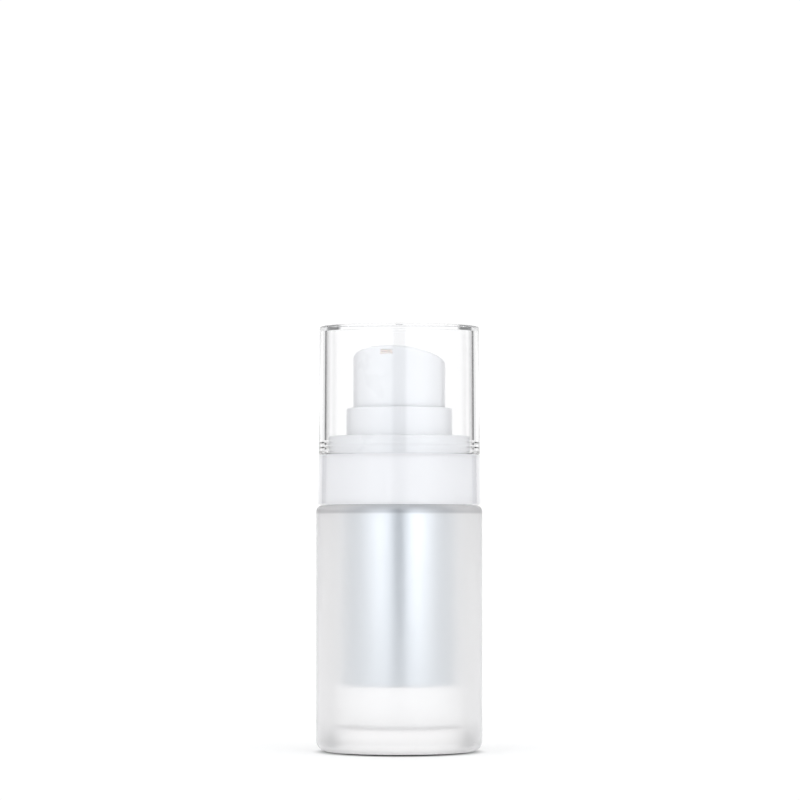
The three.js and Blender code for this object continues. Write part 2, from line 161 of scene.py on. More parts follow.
# The head's leaned crown and the outlet duct that climbs inside it
LEAN_START = 78.0
CROWN_EDGE = 84.0
CROWN_RISE = 1.26
CROWN_BLEND = 6.0
LEAN = 0.24
CROWN_LEAN = 0.86
CROWN_RUN = 3.5
CROWN_CURVE = 0.4
DUCT_START = 82.0
OUTLET_SETBACK = 0.05
DUCT_RISE = 4.1
DUCT_RUN = HEAD_RADIUS
DUCT_ANGLE = math.atan2(DUCT_RISE, DUCT_RUN)
DUCT_LENGTH = math.hypot(DUCT_RISE, DUCT_RUN)
OUTLET_WIDTH = 2.7
OUTLET_HEIGHT = 0.95
INSERT_FIT = 0.02
ORIFICE_WIDTH = 1.8
ORIFICE_HEIGHT = 0.12
PASSAGE_HEIGHT = 0.8


# ---------------------------------------------------------------- mesh building

def outline(corners, closed):
    """Corners (radius, height, fillet) as 2-D points in millimetres, each fillet drawn as an arc."""
    points = []
    count = len(corners)
    for index, corner in enumerate(corners):
        here = Vector(corner[:2])
        fillet = corner[2] if len(corner) > 2 else 0
        if fillet == 0:
            points.append(here)
            continue
        before = (Vector(corners[index - 1][:2]) - here).normalized()
        after = (Vector(corners[(index + 1) % count][:2]) - here).normalized()
        half = before.angle(after) / 2
        middle = here + (before + after).normalized() * (fillet / math.sin(half))
        start = here + before * (fillet / math.tan(half)) - middle
        turn = math.pi - 2 * half
        side = 1 if before.x * start.y - before.y * start.x > 0 else -1
        steps = max(3, round(turn / ARC_STEP))
        for step in range(steps + 1):
            angle = side * turn * step / steps
            points.append(middle + Vector((
                start.x * math.cos(angle) - start.y * math.sin(angle),
                start.x * math.sin(angle) + start.y * math.cos(angle),
            )))
    if closed:
        points.append(points[0])
    return points


def finish_mesh(name, mesh):
    """Links a mesh as a piece, shades it smooth and keeps its real edges sharp."""
    mesh.shade_smooth()
    mesh.set_sharp_from_angle(angle=SHARP_ANGLE)
    piece = bpy.data.objects.new(name, mesh)
    scene.collection.objects.link(piece)
    return piece


def mesh_piece(name, vertices, faces):
    mesh = bpy.data.meshes.new(name)
    mesh.from_pydata([Vector(v) * MM for v in vertices], [], faces)
    mesh.validate()
    return finish_mesh(name, mesh)


def spin(points, sides, closed, reshape):
    """Vertices and faces of a 2-D outline turned about Z; reshape moves each vertex afterwards."""
    vertices, rows = [], []
    for index, point in enumerate(points):
        if closed and index == len(points) - 1:
            rows.append(rows[0])
            continue
        first = len(vertices)
        if point.x < 1e-6:
            vertices.append(reshape(0, 0, point.y))
            rows.append([first] * sides)
            continue
        for side in range(sides):
            angle = 2 * math.pi * side / sides
            vertices.append(reshape(point.x * math.cos(angle), point.x * math.sin(angle), point.y))
        rows.append(list(range(first, first + sides)))
    faces = []
    for low, high in zip(rows, rows[1:]):
        for side in range(sides):
            after = (side + 1) % sides
            face = list(dict.fromkeys([low[side], low[after], high[after], high[side]]))
            if len(face) > 2:
                faces.append(face)
    return vertices, faces


def upright(x, y, z):
    return x, y, z


def turned(name, corners, sides=FINE_SIDES, reshape=upright):
    """A body turned from axis to axis, its outline starting at the bottom and running up the outside."""
    return mesh_piece(name, *spin(outline(corners, False), sides, False, reshape))


def ring(name, corners, sides=FINE_SIDES):
    """A turned body with a hole down its middle; its outline closes on itself."""
    return mesh_piece(name, *spin(outline(corners, True), sides, True, upright))


def dress(piece, body, slot, *nodes):
    """The piece stands for CAD nodes on a body, and takes its finish from a slot of the record."""
    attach(piece, body)
    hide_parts(*nodes)
    piece.data.materials.clear()
    piece.data.materials.append(FINISHES[slot])
    return piece


def finish_where(piece, material, inner, outer, bottom, top):
    """Gives another material to the faces between two radii and two heights, in millimetres."""
    piece.data.materials.append(material)
    points = piece.data.vertices
    slack = 0.001
    for face in piece.data.polygons:
        radii = [points[index].co.xy.length / MM for index in face.vertices]
        heights = [points[index].co.z / MM for index in face.vertices]
        within = inner - slack <= min(radii) and max(radii) <= outer + slack
        if within and bottom - slack <= min(heights) and max(heights) <= top + slack:
            face.material_index = len(piece.data.materials) - 1


def bar(name, width, height, start, end, lift=0.0, bevel=0.0):
    """A block along the duct line, from start to end, in millimetres."""
    mesh = bpy.data.meshes.new(name)
    form = bmesh.new()
    bmesh.ops.create_cube(form, size=1)
    bmesh.ops.scale(form, vec=(width, end - start, height), verts=form.verts)
    bmesh.ops.translate(form, vec=(0, -(start + end) / 2, lift), verts=form.verts)
    if bevel:
        bmesh.ops.bevel(form, geom=form.edges[:], offset=bevel, segments=3, affect="EDGES", profile=0.5)
    bmesh.ops.rotate(form, matrix=Matrix.Rotation(-DUCT_ANGLE, 3, "X"), verts=form.verts)
    bmesh.ops.translate(form, vec=(0, 0, DUCT_START), verts=form.verts)
    bmesh.ops.scale(form, vec=(MM, MM, MM), verts=form.verts)
    form.to_mesh(mesh)
    form.free()
    return finish_mesh(name, mesh)


def block(name, low, high):
    """A cutting block between two corners, in millimetres."""
    corners = [(x, y, z) for x in (low[0], high[0]) for y in (low[1], high[1]) for z in (low[2], high[2])]
    faces = [(0, 1, 3, 2), (4, 6, 7, 5), (0, 4, 5, 1), (2, 3, 7, 6), (0, 2, 6, 4), (1, 5, 7, 3)]
    return mesh_piece(name, corners, faces)


def carve(piece, tools, operation="DIFFERENCE"):
    """Cuts the tools out of the piece, or joins them to it, and removes them."""
    for tool in tools:
        modifier = piece.modifiers.new("carve", "BOOLEAN")
        modifier.operation = operation
        modifier.solver = "EXACT"
        modifier.object = tool
    graph = bpy.context.evaluated_depsgraph_get()
    carved = bpy.data.meshes.new_from_object(piece.evaluated_get(graph))
    piece.modifiers.clear()
    piece.data = carved
    carved.shade_smooth()
    carved.set_sharp_from_angle(angle=SHARP_ANGLE)
    for tool in tools:
        bpy.data.objects.remove(tool)
    return piece


# ---------------------------------------------------------------- materials

class Paint:
    """A Principled material, with short calls for the nodes that give it texture."""

    def __init__(self, name, **sockets):
        self.material = bpy.data.materials.new(name)
        self.material.use_nodes = True
        self.nodes = self.material.node_tree.nodes
        self.links = self.material.node_tree.links
        self.shader = self.nodes["Principled BSDF"]
        for socket, value in sockets.items():
            self.shader.inputs[socket.replace("_", " ")].default_value = value
        self.place = self.nodes.new("ShaderNodeTexCoord").outputs["Object"]
        self.relief = None

    def stretched(self, along):
        """Object coordinates drawn out along Z, for flow and drag marks."""
        mapping = self.nodes.new("ShaderNodeMapping")
        mapping.inputs["Scale"].default_value = (1, 1, 1 / along)
        self.links.new(self.place, mapping.inputs["Vector"])
        return mapping.outputs["Vector"]

    def noise(self, per_metre, detail=3, place=None):
        texture = self.nodes.new("ShaderNodeTexNoise")
        texture.inputs["Scale"].default_value = per_metre
        texture.inputs["Detail"].default_value = detail
        self.links.new(place or self.place, texture.inputs["Vector"])
        return texture.outputs["Fac"]

    def height(self, low, high):
        """0 below one height and 1 above another, in millimetres, with a soft step between."""
        split = self.nodes.new("ShaderNodeSeparateXYZ")
        self.links.new(self.place, split.inputs[0])
        step = self.nodes.new("ShaderNodeMapRange")
        step.interpolation_type = "SMOOTHSTEP"
        step.inputs["From Min"].default_value = low * MM
        step.inputs["From Max"].default_value = high * MM
        self.links.new(split.outputs["Z"], step.inputs["Value"])
        return step.outputs["Result"]

    def vary(self, socket, source, low, high):
        """Drives a number socket between two values."""
        span = self.nodes.new("ShaderNodeMapRange")
        span.inputs["From Min"].default_value = 0.3
        span.inputs["From Max"].default_value = 0.7
        span.inputs["To Min"].default_value = low
        span.inputs["To Max"].default_value = high
        self.links.new(source, span.inputs["Value"])
        self.links.new(span.outputs["Result"], self.shader.inputs[socket])

    def tint(self, source, first, second):
        """Drives the base colour between two colours."""
        mix = self.nodes.new("ShaderNodeMix")
        mix.data_type = "RGBA"
        mix.inputs[6].default_value = (*first, 1)
        mix.inputs[7].default_value = (*second, 1)
        self.links.new(source, mix.inputs[0])
        self.links.new(mix.outputs[2], self.shader.inputs["Base Color"])

    def bump(self, source, depth):
        """Adds relief of a depth in metres on top of what is there."""
        node = self.nodes.new("ShaderNodeBump")
        node.inputs["Strength"].default_value = 1
        node.inputs["Distance"].default_value = depth
        self.links.new(source, node.inputs["Height"])
        if self.relief:
            self.links.new(self.relief, node.inputs["Normal"])
        self.relief = node.outputs["Normal"]
        self.links.new(self.relief, self.shader.inputs["Normal"])


def frosted_glass():
    """Acid-frosted outer skin: a fine etched grain over slightly wavy glass, with painted shade that greys
    the shoulder.
    """
    paint = Paint("frosted_glass", Transmission_Weight=1.0, IOR=1.5)
    # Painted shade: from the shoulder fillet up, the frosted skin is tinted grey to stand for the shade at
    # the shoulder under the collar.
    paint.tint(paint.height(SHOULDER - 2.1, SHOULDER - 1.5), (0.966, 0.96, 0.965), (0.52, 0.515, 0.525))
    paint.vary("Roughness", paint.noise(900), 0.4, 0.44)
    paint.bump(paint.noise(4200, detail=2), 0.000003)
    paint.bump(paint.noise(160, detail=1), 0.00003)
    return paint.material


def clear_glass():
    """The bore and floor of the bottle: clear, with the slow waves of pressed glass."""
    paint = Paint("clear_glass", Base_Color=(0.99, 0.993, 0.995, 1), Transmission_Weight=1.0, IOR=1.5)
    paint.vary("Roughness", paint.noise(260), 0.01, 0.05)
    paint.bump(paint.noise(120, detail=1), 0.00003)
    return paint.material


def silver_lacquer():
    """Vacuum-metallised silver under lacquer, cool in colour, with faint orange peel and flow."""
    paint = Paint("silver_lacquer", Metallic=1.0, Coat_Weight=0.25, Coat_Roughness=0.12)
    paint.tint(paint.noise(300), (0.675, 0.704, 0.733), (0.705, 0.734, 0.76))
    paint.vary("Roughness", paint.noise(420, place=paint.stretched(6)), 0.08, 0.12)
    paint.bump(paint.noise(1300, detail=2), 0.0000025)
    return paint.material


def clear_plastic(name="clear_plastic", clearness=0.984):
    """Polished clear moulding with a trace of flow in its surface."""
    paint = Paint(name, Transmission_Weight=1.0, IOR=1.49)
    paint.shader.inputs["Base Color"].default_value = (clearness, clearness, clearness + 0.004, 1)
    paint.vary("Roughness", paint.noise(220), 0.0, 0.004)
    paint.bump(paint.noise(50, detail=1, place=paint.stretched(4)), 0.0000003)
    return paint.material


def glowing_bonded_face():
    """The sleeve's inner face where it is bonded to the white collar: milky, almost opaque, and lit by a
    painted glow.
    """
    # Painted light: a faint emission makes this face glow brighter than its lighting would make it.
    paint = Paint("glowing_bonded_face", Transmission_Weight=0.2, IOR=1.2, Emission_Strength=0.09)
    paint.shader.inputs["Emission Color"].default_value = (0.97, 0.97, 1, 1)
    paint.tint(paint.noise(240), (0.975, 0.975, 0.985), (0.985, 0.985, 0.992))
    paint.vary("Roughness", paint.noise(900, place=paint.stretched(8)), 0.4, 0.5)
    return paint.material


def white_plastic(name="white_plastic", level=0.868):
    """Cool white, semi-gloss moulding with broad, very shallow waves in its colour, gloss and surface."""
    paint = Paint(name, IOR=1.47)
    low = (level, level + 0.004, level + 0.016)
    paint.tint(paint.noise(120), low, [part + 0.008 for part in low])
    paint.vary("Roughness", paint.noise(150), 0.27, 0.3)
    paint.bump(paint.noise(180, detail=0), 0.000002)
    return paint.material


def natural_plastic():
    """Uncoloured moulding as it leaves the tool: milky, a little waxy."""
    paint = Paint("natural_plastic", Subsurface_Weight=0.3, Subsurface_Scale=0.001, IOR=1.5)
    paint.tint(paint.noise(400), (0.80, 0.81, 0.79), (0.84, 0.845, 0.82))
    paint.vary("Roughness", paint.noise(900), 0.38, 0.5)
    paint.bump(paint.noise(3200, detail=2), 0.000004)
    return paint.material


def peach_plastic():
    """Pale peach moulding of the outlet insert."""
    paint = Paint("peach_plastic", Subsurface_Weight=0.2, Subsurface_Scale=0.0006, IOR=1.5)
    paint.tint(paint.noise(1500), (0.88, 0.79, 0.745), (0.91, 0.83, 0.785))
    paint.vary("Roughness", paint.noise(1800), 0.32, 0.42)
    paint.bump(paint.noise(5200, detail=2), 0.000003)
    return paint.material


def seal_plastic():
    """Soft uncoloured seal with a dull, slightly uneven skin."""
    paint = Paint("seal_plastic", Subsurface_Weight=0.25, Subsurface_Scale=0.0008, IOR=1.48)
    paint.tint(paint.noise(500), (0.76, 0.77, 0.765), (0.80, 0.81, 0.80))
    paint.vary("Roughness", paint.noise(1200), 0.52, 0.64)
    paint.bump(paint.noise(4200, detail=3), 0.000006)
    return paint.material


def spring_steel():
    """Bright drawn stainless wire and ground balls, with fine marks along the surface."""
    paint = Paint("spring_steel", Metallic=1.0)
    paint.tint(paint.noise(2200), (0.60, 0.61, 0.63), (0.68, 0.69, 0.71))
    paint.vary("Roughness", paint.noise(3000), 0.16, 0.28)
    paint.bump(paint.noise(9000, detail=2), 0.0000012)
    return paint.material


FINISHES = {
    "frosted_glass": frosted_glass(),
    "silver_lacquer": silver_lacquer(),
    "clear_plastic": clear_plastic(),
    "white_plastic": white_plastic(),
    "natural_plastic": natural_plastic(),
    "peach_plastic": peach_plastic(),
    "seal_plastic": seal_plastic(),
    "spring_steel": spring_steel(),
}


# ---------------------------------------------------------------- the bottle

def glass_bottle():
    """The heavy outer bottle: pushed-up base, thick floor, square shoulder and a beaded spigot."""
    piece = turned("glass_bottle", [
        (0, PUSH_UP),
        (FOOT_INNER - 1.5, PUSH_UP, 0.8),
        (FOOT_INNER, BASE, 0.5),
        (BOTTLE_RADIUS, BASE, BASE_FILLET),
        (BOTTLE_RADIUS, SHOULDER, SHOULDER_FILLET),
        (SPIGOT_RADIUS, SHOULDER, 0.2),
        (SPIGOT_RADIUS, SNAP_BOTTOM, 0.2),
        (SPIGOT_RADIUS + SNAP_REACH, SNAP_BOTTOM + 0.4, 0.2),
        (SPIGOT_RADIUS + SNAP_REACH, SNAP_TOP - 0.4, 0.2),
        (SPIGOT_RADIUS, SNAP_TOP, 0.2),
        (SPIGOT_RADIUS, SPIGOT_TOP, 0.25),
        (BORE_RADIUS, SPIGOT_TOP, 0.25),
        (BORE_RADIUS, BORE_FLOOR, BORE_FILLET),
        (0, BORE_FLOOR),
    ])
    dress(piece, "bottle", "frosted_glass", "outer_bottle")
    finish_where(piece, clear_glass(), 0, BORE_RADIUS + 0.02, BORE_FLOOR - 0.02, SPIGOT_TOP)


def silver_cup():
    """The metallised inner cup: rounded floor with its air hole, and the rim that seals the bottle."""
    piece = ring("silver_cup", [
        (VENT_RADIUS, CUP_BOTTOM, 0.15),
        (CUP_RADIUS, CUP_BOTTOM, 0.35),
        (CUP_RADIUS, SPIGOT_TOP + 0.1, 0.15),
        (RIM_RADIUS, SPIGOT_TOP + 0.1, 0.12),
        (RIM_RADIUS, CUP_TOP, 0.2),
        (CUP_INNER, CUP_TOP, 0.2),
        (CUP_INNER, CUP_BOTTOM + CUP_WALL, 0.4),
        (VENT_RADIUS, CUP_BOTTOM + CUP_WALL, 0.15),
    ])
    vent = block("vent", (13.2, -0.7, 60.7), (15.6, 0.7, 62.1))
    carve(piece, [vent])
    dress(piece, "bottle", "silver_lacquer", "inner_cup")


def cup_gasket():
    """The soft washer between the cup's rim and the pump's flange."""
    piece = ring("rim_gasket", [
        (GASKET_RADIUS - GASKET_WIDTH, GASKET_BOTTOM, 0.12),
        (GASKET_RADIUS, GASKET_BOTTOM, 0.12),
        (GASKET_RADIUS, GASKET_TOP, 0.12),
        (GASKET_RADIUS - GASKET_WIDTH, GASKET_TOP, 0.12),
    ])
    dress(piece, "bottle", "seal_plastic", "cup_gasket")


def follower():
    """The follower piston: two wiping lips on a skirt, and a raised centre that clears the pump."""
    piece = turned("follower", [
        (0, PISTON_BOTTOM),
        (PISTON_SKIRT, PISTON_BOTTOM, 0.25),
        (PISTON_SKIRT, PISTON_WEB, 0.3),
        (PISTON_HOOP, PISTON_WEB, 0.3),
        (PISTON_HOOP, PISTON_BOTTOM, 0.15),
        (PISTON_RADIUS, 15.5, 0.1),
        (PISTON_RADIUS - 0.3, 16.5, 0.4),
        (PISTON_RADIUS - 0.3, 23.3, 0.4),
        (PISTON_RADIUS, 24.3, 0.1),
        (11.3, PISTON_TOP, 0.12),
        (PISTON_WELL, PISTON_TOP, 0.4),
        (PISTON_WELL, PISTON_WELL_FLOOR, 0.3),
        (0, PISTON_WELL_FLOOR),
    ])
    dress(piece, "follower", "natural_plastic", "follower_piston")


# ---------------------------------------------------------------- the pump inside

def pump_body():
    """The pump housing: inlet seat at the bottom, cylinder, and the flange that hangs it in the cup."""
    piece = ring("pump_body", [
        (INLET_RADIUS, HOUSING_BOTTOM, 0.12),
        (INLET_RADIUS + 1.6, HOUSING_BOTTOM, 0.3),
        (HOUSING_RADIUS, CHAMBER_FLOOR - 0.8, 0.6),
        (HOUSING_RADIUS, FLANGE_BOTTOM, 0.3),
        (SKIRT_INNER, FLANGE_BOTTOM, 0.3),
        (SKIRT_INNER, SKIRT_BOTTOM, 0.15),
        (SKIRT_OUTER, SKIRT_BOTTOM, 0.15),
        (SKIRT_OUTER, FLANGE_BOTTOM, 0.2),
        (FLANGE_RADIUS, FLANGE_BOTTOM, 0.15),
        (FLANGE_RADIUS, FLANGE_TOP, 0.2),
        (CHAMBER_RADIUS, FLANGE_TOP, 0.2),
        (CHAMBER_RADIUS, CHAMBER_FLOOR, 0.15),
        (INLET_RADIUS + 1, CHAMBER_FLOOR),
        (INLET_RADIUS + 1, CHAMBER_FLOOR - 0.6),
        (INLET_RADIUS, CHAMBER_FLOOR - 1.6),
    ], PUMP_SIDES)
    dress(piece, "bottle", "natural_plastic", "pump_housing")


def valve_cage():
    """The cage over the inlet ball, with crossed slots for the flow."""
    piece = ring("valve_cage", [
        (CAGE_BORE, CAGE_BOTTOM + CAGE_ROOM),
        (CAGE_ROOM, CAGE_BOTTOM + CAGE_ROOM),
        (CAGE_ROOM, CAGE_BOTTOM),
        (CAGE_RADIUS, CAGE_BOTTOM, 0.1),
        (CAGE_RADIUS, CAGE_TOP, 0.15),
        (CAGE_BORE, CAGE_TOP, 0.1),
    ], PUMP_SIDES)
    across = block("across", (-2.8, -0.4, 50.8), (2.8, 0.4, 52.9))
    along = block("along", (-0.4, -2.8, 50.8), (0.4, 2.8, 52.9))
    carve(piece, [across, along])
    dress(piece, "bottle", "natural_plastic", "ball_cage")


def valve_ball(name, node, body):
    """A ground steel ball, as a fine sphere of even patches."""
    low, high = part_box(node)
    mesh = bpy.data.meshes.new(name)
    form = bmesh.new()
    bmesh.ops.create_icosphere(form, subdivisions=4, radius=(high.z - low.z) / 2)
    bmesh.ops.translate(form, vec=(low + high) / 2, verts=form.verts)
    form.to_mesh(mesh)
    form.free()
    dress(finish_mesh(name, mesh), body, "spring_steel", node)


def plug():
    """The plug that closes the stem's foot and carries the piston."""
    piece = ring("foot_plug", [
        (PLUG_BORE, PLUG_BOTTOM, 0.08),
        (PLUG_RADIUS, PLUG_BOTTOM, 0.2),
        (PLUG_RADIUS, PLUG_STEP, 0.15),
        (PLUG_PIN, PLUG_STEP, 0.1),
        (PLUG_PIN, PLUG_TOP, 0.1),
        (PLUG_BORE, PLUG_TOP, 0.08),
    ], PUMP_SIDES)
    dress(piece, "plunger", "natural_plastic", "stem_plug")


def wiper():
    """The sliding piston with a lip at each end."""
    piece = ring("wiper", [
        (2.25, SEAL_BOTTOM, 0.08),
        (3.9, SEAL_BOTTOM, 0.12),
        (SEAL_RADIUS, 58.35, 0.08),
        (4.2, 59.15, 0.3),
        (4.2, 60.5, 0.3),
        (SEAL_RADIUS, 61.3, 0.08),
        (3.9, SEAL_TOP, 0.12),
        (2.25, SEAL_TOP, 0.08),
    ], PUMP_SIDES)
    dress(piece, "plunger", "seal_plastic", "stem_piston")


def stem():
    """The hollow stem: a rib that takes the spring's load, and the outlet ball's seat near the top."""
    piece = ring("stem", [
        (STEM_SOCKET, STEM_BOTTOM, 0.08),
        (STEM_RADIUS, STEM_BOTTOM, 0.12),
        (STEM_RADIUS, RIB_BOTTOM, 0.1),
        (RIB_RADIUS, RIB_BOTTOM, 0.12),
        (RIB_RADIUS, RIB_TOP, 0.12),
        (STEM_RADIUS, RIB_TOP, 0.1),
        (STEM_RADIUS, STEM_TOP, 0.15),
        (STEM_BORE + 0.7, STEM_TOP, 0.1),
        (STEM_BORE + 0.7, OUTLET_SEAT + 0.7),
        (STEM_BORE, OUTLET_SEAT),
        (STEM_BORE, STEM_BOTTOM + 3),
        (STEM_SOCKET, STEM_BOTTOM + 3),
    ], PUMP_SIDES)
    dress(piece, "plunger", "natural_plastic", "pump_stem")


def lock():
    """The lock that snaps into the housing, guides the stem and seats the spring."""
    piece = ring("guide_lock", [
        (LOCK_BORE, LOCK_BOTTOM, 0.1),
        (LOCK_SKIRT, LOCK_BOTTOM, 0.15),
        (LOCK_SKIRT, 64.3, 0.1),
        (LOCK_RADIUS, 64.3, 0.15),
        (LOCK_RADIUS, 65.4, 0.2),
        (LOCK_GROOVE, 65.4, 0.15),
        (LOCK_GROOVE, 64.4, 0.1),
        (LOCK_COLLAR, 64.4, 0.1),
        (LOCK_COLLAR, LOCK_TOP, 0.15),
        (LOCK_BORE, LOCK_TOP, 0.1),
    ], PUMP_SIDES)
    dress(piece, "bottle", "natural_plastic", "housing_lock")


def spring():
    """The return spring: seven turns of round wire with closed, ground ends."""
    mean = COIL_RADIUS - SPRING_WIRE
    first = COIL_BOTTOM + SPRING_WIRE
    last = COIL_TOP - SPRING_WIRE
    steps, around = SPRING_TURNS * 48, 12
    closed_turn = 1 / SPRING_TURNS
    climb = last - first - 4 * SPRING_WIRE
    vertices, faces = [], []
    for step in range(steps + 1):
        share = step / steps
        angle = 2 * math.pi * SPRING_TURNS * share
        flat = min(share, closed_turn) / closed_turn + max(share - 1 + closed_turn, 0) / closed_turn
        open_share = min(max((share - closed_turn) / (1 - 2 * closed_turn), 0), 1)
        height = first + 2 * SPRING_WIRE * flat + climb * open_share
        for side in range(around):
            turn = 2 * math.pi * side / around
            reach = mean + SPRING_WIRE * math.cos(turn)
            rise = height + SPRING_WIRE * math.sin(turn)
            vertices.append((reach * math.cos(angle), reach * math.sin(angle), rise))
    for step in range(steps):
        for side in range(around):
            after = (side + 1) % around
            low, high = step * around, (step + 1) * around
            faces.append((low + side, high + side, high + after, low + after))
    faces.append(tuple(range(around)))
    faces.append(tuple(reversed(range(steps * around, (steps + 1) * around))))
    piece = dress(mesh_piece("spring", vertices, faces), "bottle", "spring_steel", "return_spring")
    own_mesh(piece)


# ---------------------------------------------------------------- collar and shroud

def collar():
    """The white snap collar: a deep skirt, a narrower neck with the cap's bead, and the top plate."""
    piece = ring("collar", [
        (COLLAR_BORE, COLLAR_BOTTOM, 0.15),
        (COLLAR_SEAT, COLLAR_BOTTOM, 0.2),
        (COLLAR_SEAT, NECK_BOTTOM - 0.2, 0.1),
        (NECK_RADIUS, NECK_BOTTOM, 0.1),
        (NECK_RADIUS, NECK_BEAD - 0.5, 0.25),
        (COLLAR_RADIUS, NECK_BEAD, 0.3),
        (NECK_RADIUS, NECK_BEAD + 0.5, 0.25),
        (NECK_RADIUS, NECK_TOP, 0.5),
        (PLATE_BORE, NECK_TOP, 0.25),
        (PLATE_BORE, PLATE_BOTTOM, 0.1),
        (COLLAR_BORE, PLATE_BOTTOM, 0.2),
        (COLLAR_BORE, CATCH_HEIGHT + 0.7, 0.2),
        (COLLAR_BORE - 0.2, CATCH_HEIGHT + 0.3, 0.15),
        (COLLAR_BORE - 0.2, CATCH_HEIGHT - 0.3, 0.15),
        (COLLAR_BORE, CATCH_HEIGHT - 0.7, 0.2),
    ])
    dress(piece, "bottle", "white_plastic", "collar_base")
    piece.data.materials[0] = white_plastic("collar_white", 0.88)


def sleeve():
    """The clear ring shrunk over the collar."""
    piece = ring("clear_sleeve", [
        (SLEEVE_INNER, SLEEVE_BOTTOM, 0.12),
        (SLEEVE_RADIUS, SLEEVE_BOTTOM, 0.25),
        (SLEEVE_TOP_RADIUS, SLEEVE_TOP, 0.25),
        (SLEEVE_INNER, SLEEVE_TOP, 0.12),
    ])
    dress(piece, "bottle", "clear_plastic", "collar_sleeve")
    piece.data.materials[0] = clear_plastic("sleeve_clear", 0.996)
    # The sleeve's inner face glows with painted light.
    finish_where(piece, glowing_bonded_face(), SLEEVE_INNER, SLEEVE_INNER, SLEEVE_BOTTOM, SLEEVE_TOP)


def shroud():
    """The white tube that hides the stem and guides the head."""
    piece = ring("shroud", [
        (SHROUD_BORE, SHROUD_LIP, 0.15),
        (SHROUD_LIP_RADIUS, SHROUD_LIP, 0.15),
        (SHROUD_LIP_RADIUS, SHROUD_BOTTOM, 0.1),
        (SHROUD_FOOT, SHROUD_BOTTOM, 0.15),
        (SHROUD_FOOT, SHROUD_STEP, 0.15),
        (SHROUD_RADIUS, SHROUD_STEP, 0.3),
        (SHROUD_RADIUS, SHROUD_TOP, 0.5),
        (SHROUD_BORE, SHROUD_TOP, 0.15),
    ])
    dress(piece, "bottle", "white_plastic", "pump_shroud")


# ---------------------------------------------------------------- the head

def leaned(radius):
    """Lifts a turned point towards the outlet side, so that the head's top slopes up to the front."""
    def move(x, y, z):
        forward = -y
        lift = min(max((z - LEAN_START) / CROWN_BLEND, 0), 1)
        crown = max(z - CROWN_EDGE, 0) / CROWN_RISE
        return x, y, z + lift * LEAN * forward + crown * CROWN_LEAN * forward / radius
    return move


def crown(radius, edge, steps=28):
    """Outline points of the domed top from the edge to the axis."""
    points = []
    for step in range(steps + 1):
        share = math.cos(math.pi / 2 * step / steps)
        points.append((radius * share, edge + CROWN_RISE * (1 - share ** CROWN_RUN) ** CROWN_CURVE))
    points[-1] = (0, edge + CROWN_RISE)
    return points


def head_form(name, radius, edge, bottom, fillet):
    corners = [(0, bottom), (radius, bottom, fillet) if fillet else (radius, bottom)]
    heights = [LEAN_START + (edge - LEAN_START) * step / 6 for step in range(6)]
    corners += [(radius, height) for height in heights]
    return turned(name, corners + crown(radius, edge), FINE_SIDES, leaned(radius))


def press_head():
    """The head the finger presses: a straight skirt under a dished crown, with the outlet's slot."""
    piece = head_form("press_head", HEAD_RADIUS, CROWN_EDGE, HEAD_BOTTOM, 0.3)
    hollow = head_form("hollow", HEAD_INNER, CROWN_EDGE - 1, HEAD_BOTTOM - 1, 0)
    slot = bar("slot", OUTLET_WIDTH, OUTLET_HEIGHT, DUCT_LENGTH - 4, DUCT_LENGTH + 3)
    carve(piece, [hollow, slot])
    dress(piece, "head", "white_plastic", "actuator_head")


def duct_core():
    """The hidden core that grips the stem and leads the product up to the outlet."""
    piece = turned("duct_core", [
        (0, 76.1),
        (2.25, 76.1),
        (2.25, CORE_BOTTOM, 0.1),
        (3.05, CORE_BOTTOM, 0.15),
        (3.05, 77.1, 0.3),
        (CORE_RADIUS, 77.1, 0.15),
        (CORE_RADIUS, 78.1, 0.15),
        (2.4, 78.1, 0.3),
        (2.4, 82.7, 0.2),
        (0, 82.7),
    ], PUMP_SIDES)
    carve(piece, [bar("duct", 3.6, 1.85, 0, DUCT_LENGTH - 3.2)], "UNION")
    mouth = bar("mouth", OUTLET_WIDTH, OUTLET_HEIGHT, DUCT_LENGTH - 4.4, DUCT_LENGTH + 1)
    passage = bar("passage", ORIFICE_WIDTH, PASSAGE_HEIGHT, 0.2, DUCT_LENGTH)
    riser = turned("riser", [(0, 75.5), (STEM_BORE, 75.5), (STEM_BORE, 82), (0, 82)], 48)
    carve(piece, [mouth, passage, riser])
    dress(piece, "head", "white_plastic", "actuator_core")


def outlet():
    """The peach insert: a rounded block with a flat orifice."""
    end = DUCT_LENGTH - OUTLET_SETBACK
    width, height = OUTLET_WIDTH - INSERT_FIT, OUTLET_HEIGHT - INSERT_FIT
    piece = bar("outlet_insert", width, height, DUCT_LENGTH - 4.2, end, bevel=0.05)
    carve(piece, [bar("orifice", ORIFICE_WIDTH, ORIFICE_HEIGHT, DUCT_LENGTH - 5, end + 1)])
    dress(piece, "head", "peach_plastic", "nozzle_insert")


# ---------------------------------------------------------------- the cap

def ridge(height, depth):
    """Corners of a rounded ridge on the inner wall of the cap's mouth, from its upper edge down."""
    return [
        (CAP_MOUTH_INNER, height + 0.3, 0.15),
        (CAP_MOUTH_INNER - depth, height, 0.15),
        (CAP_MOUTH_INNER, height - 0.3, 0.15),
    ]


def clear_cap():
    """The clear overcap: thick walls, flat top plate and the snap ridges in its mouth."""
    ceiling = CAP_TOP - CAP_PLATE
    piece = turned("clear_cap", [
        (0, ceiling),
        (CAP_INNER, ceiling),
        *(corner for height, depth in CAP_RIDGES for corner in ridge(height, depth)),
        (CAP_MOUTH_INNER, CAP_MOUTH, 0.05),
        (CAP_RADIUS, CAP_MOUTH, 0.2),
        (CAP_TOP_RADIUS, CAP_TOP, 0.22),
        (GATE_RADIUS, CAP_TOP, 0.15),
        (GATE_RADIUS - 0.15, CAP_TOP - GATE_DEPTH, 0.08),
        (0, CAP_TOP - GATE_DEPTH),
    ])
    dress(piece, "cap", "clear_plastic", "overcap")


# ---------------------------------------------------------------- studio

